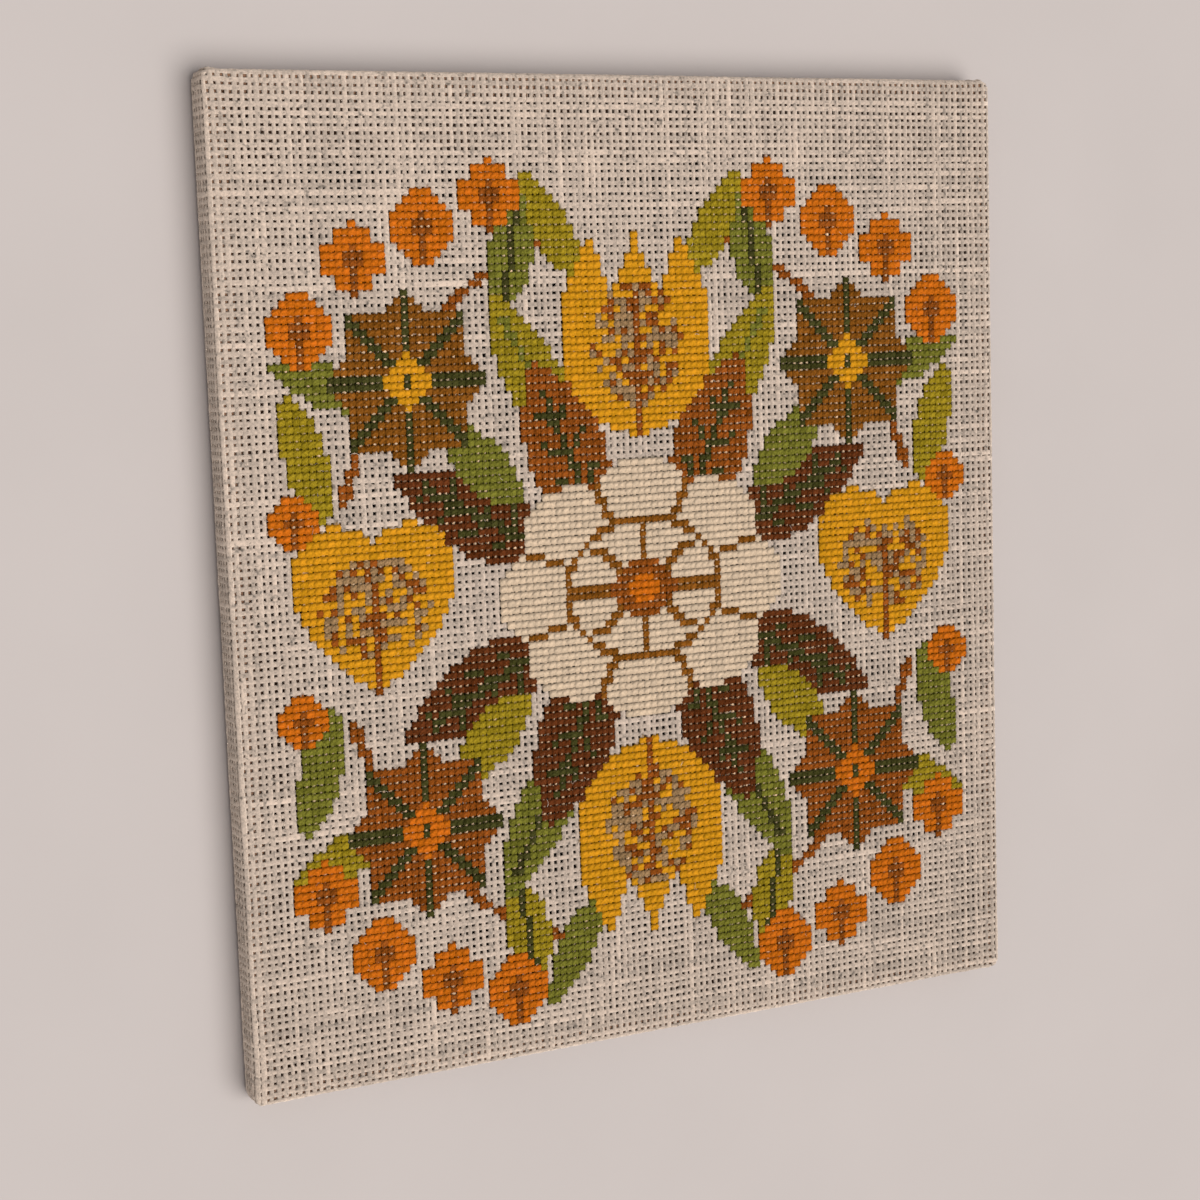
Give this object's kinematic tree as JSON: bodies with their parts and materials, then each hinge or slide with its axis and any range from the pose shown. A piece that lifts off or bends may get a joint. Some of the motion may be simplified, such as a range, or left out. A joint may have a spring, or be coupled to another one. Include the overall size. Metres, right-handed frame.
{
  "type": "cross-stitch picture on a wooden stretcher frame",
  "caption": "Embroidered open-weave canvas, folded round a mitred stretcher frame and turned over at the back, with the frame's hollow open to the rear.",
  "frame": {"origin": "Middle of the back, on the plane that the turned-over canvas rests on.", "axes": "+X is the picture's right as seen from the front, +Y its top, +Z points out of its face."},
  "size_m": [0.4, 0.45, 0.018],
  "materials": {
    "canvas_weave": "natural undyed open weave, slubby and matt",
    "frame_wood": "planed softwood, unvarnished, darkened to red-brown",
    "yarn_orange": "soft matt embroidery yarn",
    "yarn_mustard": "soft matt embroidery yarn",
    "yarn_rust": "soft matt embroidery yarn",
    "yarn_tan": "soft matt embroidery yarn",
    "yarn_brown": "soft matt embroidery yarn",
    "yarn_green": "soft matt embroidery yarn",
    "yarn_lime": "soft matt embroidery yarn",
    "yarn_olive": "soft matt embroidery yarn",
    "yarn_taupe": "soft matt embroidery yarn",
    "yarn_cream": "soft matt embroidery yarn"
  },
  "bodies": {
    "root": {"canvas": "canvas_weave", "bar_top": "frame_wood", "bar_bottom": "frame_wood", "bar_left": "frame_wood", "bar_right": "frame_wood"}
  },
  "joints": []
}
